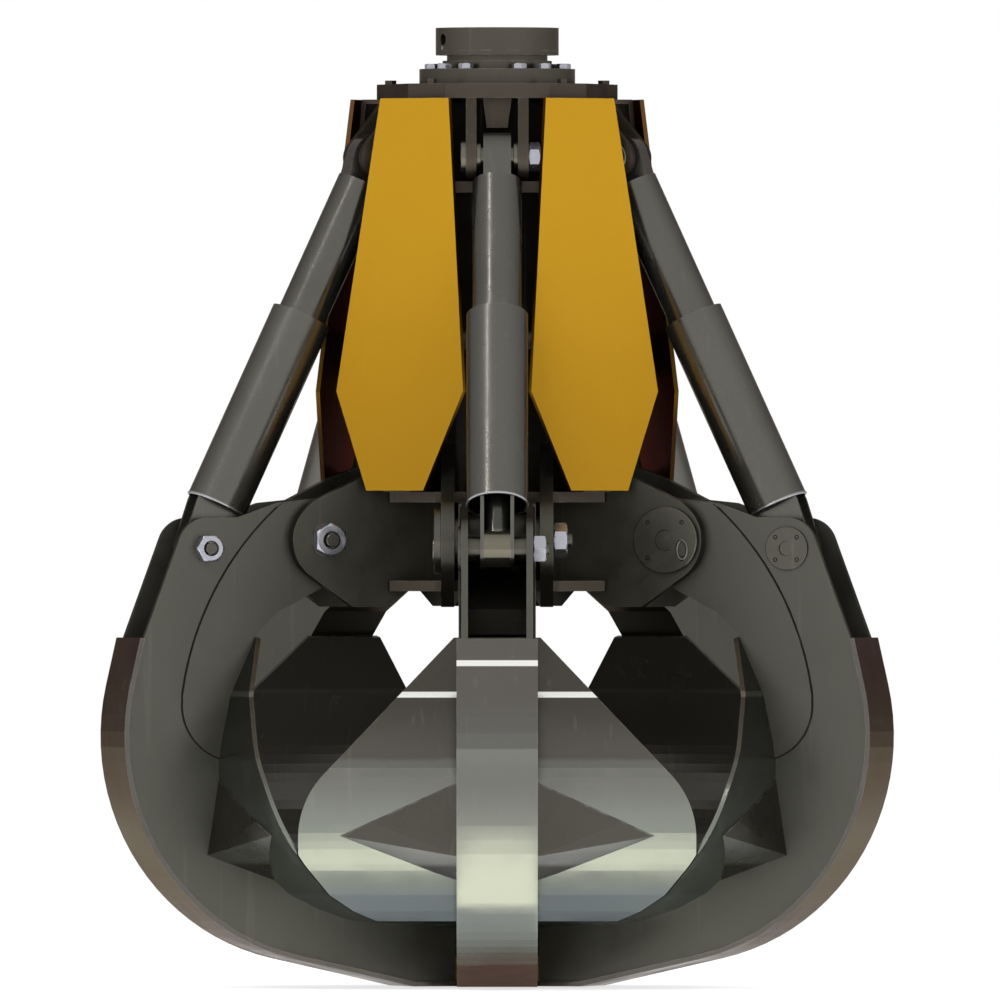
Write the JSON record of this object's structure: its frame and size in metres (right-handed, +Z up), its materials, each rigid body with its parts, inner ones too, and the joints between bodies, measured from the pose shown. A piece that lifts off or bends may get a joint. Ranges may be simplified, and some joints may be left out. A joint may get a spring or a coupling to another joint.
{
  "type": "orange peel grapple",
  "caption": "Hydraulic orange peel grapple with curved shell tines, each swung by its own cylinder, under a rotator head.",
  "frame": {"origin": "centre of the flat top face of the rotator head, where the crane bolts on; the grapple hangs below it", "axes": "+Z up along the rotator axis, the front tine points along -Y, tines closed"},
  "size_m": [1.4472, 1.384, 1.7508],
  "materials": {
    "head_steel": "satin",
    "frame_steel": "satin",
    "tine_steel": "satin",
    "band_steel": "brushed",
    "leaf_steel": "brushed",
    "gusset_steel": "satin",
    "yellow_paint": "satin",
    "zinc": "plated",
    "pin_steel": "turned",
    "sleeve_steel": "satin",
    "barrel_steel": "satin",
    "rod_chrome": "polished"
  },
  "bodies": {
    "head": {"rotator_head": "head_steel", "retaining_ring": "head_steel", "port_plugs": "zinc"},
    "frame": {"rotator_flange": "head_steel", "flange_bolts": "zinc", "top_plate": "frame_steel", "column": "frame_steel", "hanger_plates": "frame_steel", "hub_plates": "frame_steel", "hub_brackets": "frame_steel", "guard_panels": "yellow_paint", "panel_brackets": "frame_steel", "upper_pins": "pin_steel", "hinge_pins": "pin_steel", "manifolds": "frame_steel"},
    "tine_1": {"tine_webs_1": "tine_steel", "tine_band_1": "band_steel", "tine_leaf_1": "leaf_steel", "tine_gussets_1": "gusset_steel", "tine_tip_1": "yellow_paint", "lower_pin_1": "pin_steel"},
    "rod_1": {"piston_rod_1": "rod_chrome", "guard_sleeve_1": "sleeve_steel"},
    "barrel_1": {"cylinder_barrel_1": "barrel_steel"},
    "tine_2": {"tine_webs_2": "tine_steel", "tine_band_2": "band_steel", "tine_leaf_2": "leaf_steel", "tine_gussets_2": "gusset_steel", "tine_tip_2": "yellow_paint", "lower_pin_2": "pin_steel"},
    "rod_2": {"piston_rod_2": "rod_chrome", "guard_sleeve_2": "sleeve_steel"},
    "barrel_2": {"cylinder_barrel_2": "barrel_steel"},
    "tine_3": {"tine_webs_3": "tine_steel", "tine_band_3": "band_steel", "tine_leaf_3": "leaf_steel", "tine_gussets_3": "gusset_steel", "tine_tip_3": "yellow_paint", "lower_pin_3": "pin_steel"},
    "rod_3": {"piston_rod_3": "rod_chrome", "guard_sleeve_3": "sleeve_steel"},
    "barrel_3": {"cylinder_barrel_3": "barrel_steel"},
    "tine_4": {"tine_webs_4": "tine_steel", "tine_band_4": "band_steel", "tine_leaf_4": "leaf_steel", "tine_gussets_4": "gusset_steel", "tine_tip_4": "yellow_paint", "lower_pin_4": "pin_steel"},
    "rod_4": {"piston_rod_4": "rod_chrome", "guard_sleeve_4": "sleeve_steel"},
    "barrel_4": {"cylinder_barrel_4": "barrel_steel"},
    "tine_5": {"tine_webs_5": "tine_steel", "tine_band_5": "band_steel", "tine_leaf_5": "leaf_steel", "tine_gussets_5": "gusset_steel", "tine_tip_5": "yellow_paint", "lower_pin_5": "pin_steel"},
    "rod_5": {"piston_rod_5": "rod_chrome", "guard_sleeve_5": "sleeve_steel"},
    "barrel_5": {"cylinder_barrel_5": "barrel_steel"}
  },
  "joints": [
    {"name": "rotator_spin", "type": "hinge", "parent": "head", "child": "frame", "pos_m": [0, 0, -0.05], "axis": [0, 0, 1], "continuous": true},
    {"name": "tine_1_swing", "type": "hinge", "parent": "frame", "child": "tine_1", "pos_m": [0, -0.358, -0.9363], "axis": [-1, 0, 0], "range_deg": [0, 45]},
    {"name": "rod_1_pivot", "type": "hinge", "parent": "tine_1", "child": "rod_1", "pos_m": [0, -0.576, -0.9513], "axis": [-1, 0, 0], "range_deg": [-42.5, 0]},
    {"name": "barrel_1_slide", "type": "slide", "parent": "rod_1", "child": "barrel_1", "axis": [0, -0.4284, -0.9036], "range_m": [0, 0.166]},
    {"name": "tine_2_swing", "type": "hinge", "parent": "frame", "child": "tine_2", "pos_m": [0.34048, -0.11063, -0.9363], "axis": [-0.309, -0.9511, 0], "range_deg": [0, 45]},
    {"name": "rod_2_pivot", "type": "hinge", "parent": "tine_2", "child": "rod_2", "pos_m": [0.54781, -0.17799, -0.9513], "axis": [-0.309, -0.9511, 0], "range_deg": [-42.5, 0]},
    {"name": "barrel_2_slide", "type": "slide", "parent": "rod_2", "child": "barrel_2", "axis": [0.4074, -0.1324, -0.9036], "range_m": [0, 0.166]},
    {"name": "tine_3_swing", "type": "hinge", "parent": "frame", "child": "tine_3", "pos_m": [0.21043, 0.28963, -0.9363], "axis": [0.809, -0.5878, 0], "range_deg": [0, 45]},
    {"name": "rod_3_pivot", "type": "hinge", "parent": "tine_3", "child": "rod_3", "pos_m": [0.33856, 0.46599, -0.9513], "axis": [0.809, -0.5878, 0], "range_deg": [-42.5, 0]},
    {"name": "barrel_3_slide", "type": "slide", "parent": "rod_3", "child": "barrel_3", "axis": [0.2518, 0.3465, -0.9036], "range_m": [0, 0.166]},
    {"name": "tine_4_swing", "type": "hinge", "parent": "frame", "child": "tine_4", "pos_m": [-0.21043, 0.28963, -0.9363], "axis": [0.809, 0.5878, 0], "range_deg": [0, 45]},
    {"name": "rod_4_pivot", "type": "hinge", "parent": "tine_4", "child": "rod_4", "pos_m": [-0.33856, 0.46599, -0.9513], "axis": [0.809, 0.5878, 0], "range_deg": [-42.5, 0]},
    {"name": "barrel_4_slide", "type": "slide", "parent": "rod_4", "child": "barrel_4", "axis": [-0.2518, 0.3465, -0.9036], "range_m": [0, 0.166]},
    {"name": "tine_5_swing", "type": "hinge", "parent": "frame", "child": "tine_5", "pos_m": [-0.34048, -0.11063, -0.9363], "axis": [-0.309, 0.9511, 0], "range_deg": [0, 45]},
    {"name": "rod_5_pivot", "type": "hinge", "parent": "tine_5", "child": "rod_5", "pos_m": [-0.54781, -0.17799, -0.9513], "axis": [-0.309, 0.9511, 0], "range_deg": [-42.5, 0]},
    {"name": "barrel_5_slide", "type": "slide", "parent": "rod_5", "child": "barrel_5", "axis": [-0.4074, -0.1324, -0.9036], "range_m": [0, 0.166]}
  ],
  "couplings": [
    {"joint": "rod_1_pivot", "follows": "tine_1_swing", "ratio": -0.939},
    {"joint": "barrel_1_slide", "follows": "tine_1_swing", "m_per_rad": 0.2105},
    {"joint": "rod_2_pivot", "follows": "tine_2_swing", "ratio": -0.939},
    {"joint": "barrel_2_slide", "follows": "tine_2_swing", "m_per_rad": 0.2105},
    {"joint": "rod_3_pivot", "follows": "tine_3_swing", "ratio": -0.939},
    {"joint": "barrel_3_slide", "follows": "tine_3_swing", "m_per_rad": 0.2105},
    {"joint": "rod_4_pivot", "follows": "tine_4_swing", "ratio": -0.939},
    {"joint": "barrel_4_slide", "follows": "tine_4_swing", "m_per_rad": 0.2105},
    {"joint": "rod_5_pivot", "follows": "tine_5_swing", "ratio": -0.939},
    {"joint": "barrel_5_slide", "follows": "tine_5_swing", "m_per_rad": 0.2105}
  ]
}
